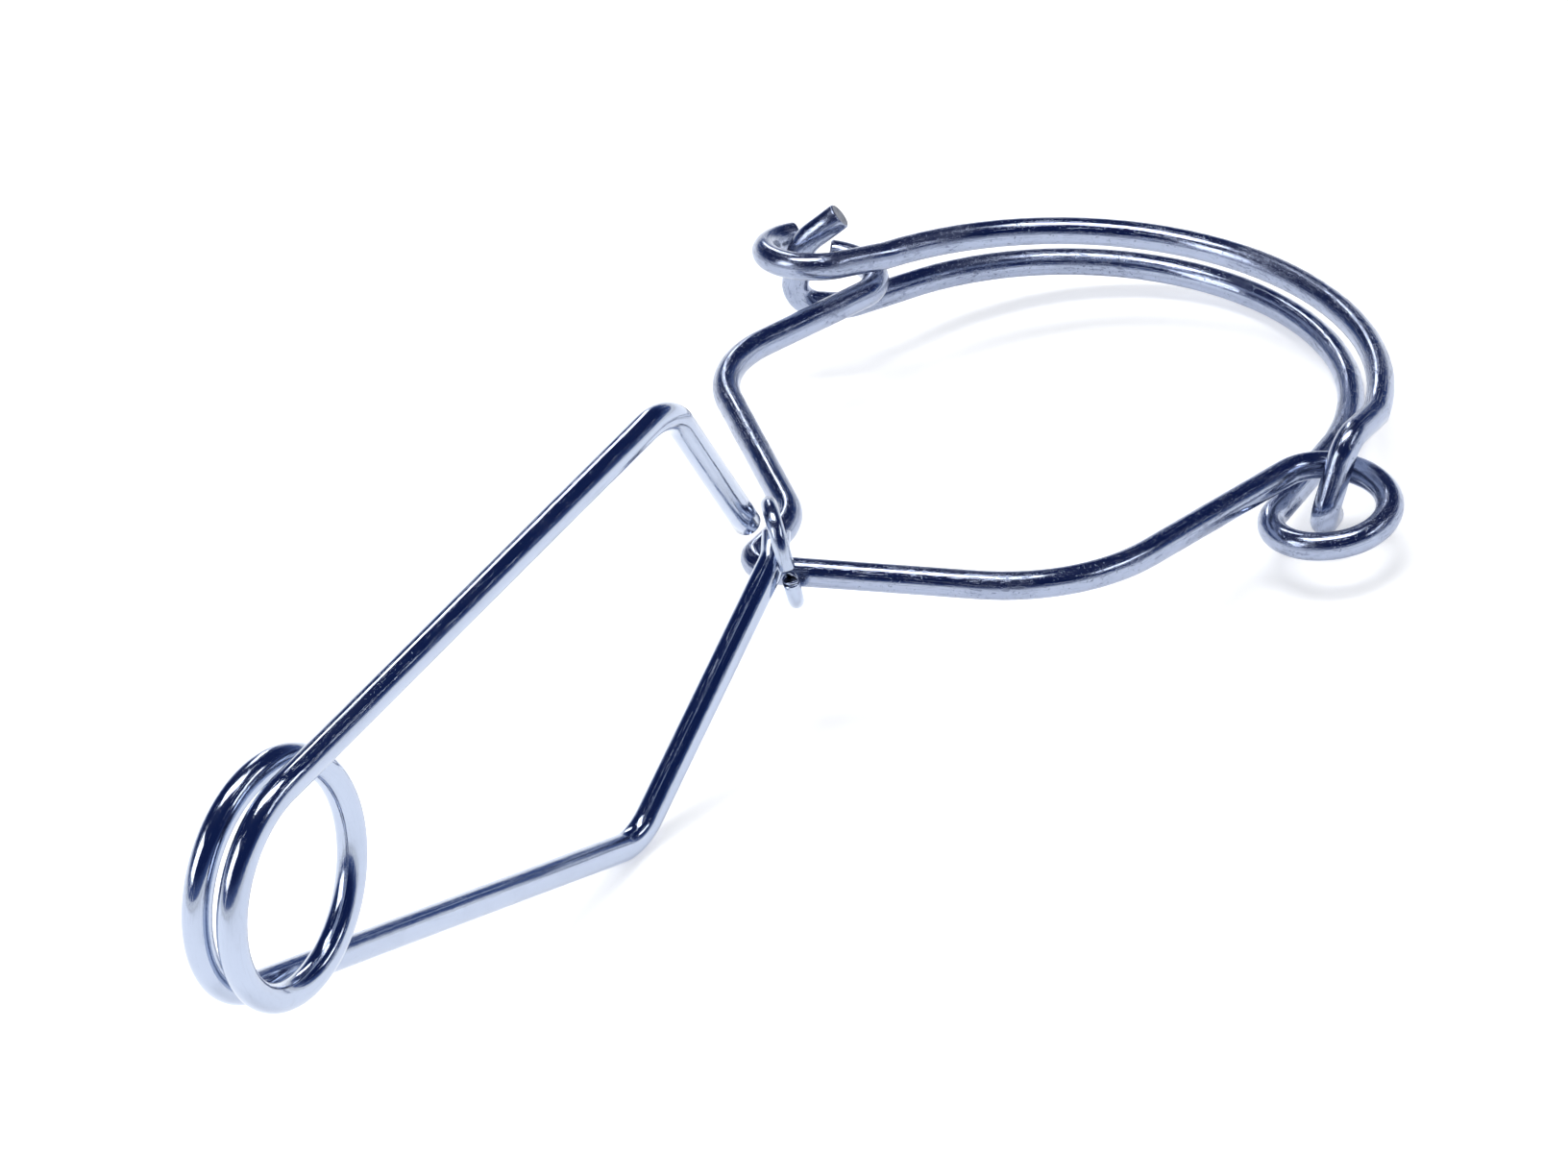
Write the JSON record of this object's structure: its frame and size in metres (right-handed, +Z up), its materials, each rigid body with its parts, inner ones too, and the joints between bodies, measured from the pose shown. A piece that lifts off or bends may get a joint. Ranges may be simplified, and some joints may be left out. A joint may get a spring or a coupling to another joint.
{
  "type": "wire clip and hoop",
  "caption": "Sprung wire clip joined by a small cut ring to a wire hoop that a hinged wire bow closes over, all of bright plated steel wire.",
  "frame": {"origin": "middle of the bounding box in plan, at the level of the table that the part lies on", "axes": "+X from the clip's coil towards the hoop's far arc, +Z up from the table, +Y across, towards the hoop's latch"},
  "size_m": [0.247, 0.1136, 0.0687],
  "materials": {
    "bright_wire": "bright plated steel wire, smooth",
    "worn_wire": "bright plated steel wire, lightly scratched and pitted",
    "link_wire": "thin bright plated steel wire"
  },
  "bodies": {
    "clip_lower": {"clip_lower_arm": "bright_wire", "clip_coil": "bright_wire"},
    "clip_upper": {"clip_upper_arm": "bright_wire"},
    "link": {"link": "link_wire"},
    "hoop": {"hoop": "worn_wire"},
    "bow": {"bow": "worn_wire"}
  },
  "joints": [
    {"name": "clip_spring", "type": "hinge", "parent": "clip_lower", "child": "clip_upper", "pos_m": [-0.10597, 0.00902, 0.05124], "axis": [0, -1, 0], "range_deg": [0, 18], "stiffness_Nm_per_rad": 3, "deforming": ["clip_coil"]},
    {"name": "link_swing", "type": "hinge", "parent": "clip_lower", "child": "link", "pos_m": [0.00896, 0.00724, 0.02725], "axis": [0.5671, 0.1238, 0.8143], "range_deg": [-8, 15]},
    {"name": "hoop_swing", "type": "hinge", "parent": "link", "child": "hoop", "pos_m": [0.0107, 0.0119, 0.02319], "axis": [-0.5478, -0.8366, -0.0059], "range_deg": [-4, 8]},
    {"name": "bow_hinge", "type": "hinge", "parent": "hoop", "child": "bow", "pos_m": [0.07528, -0.0447, 0.0095], "axis": [0.2324, -0.9511, -0.2034], "range_deg": [0, 90]}
  ]
}
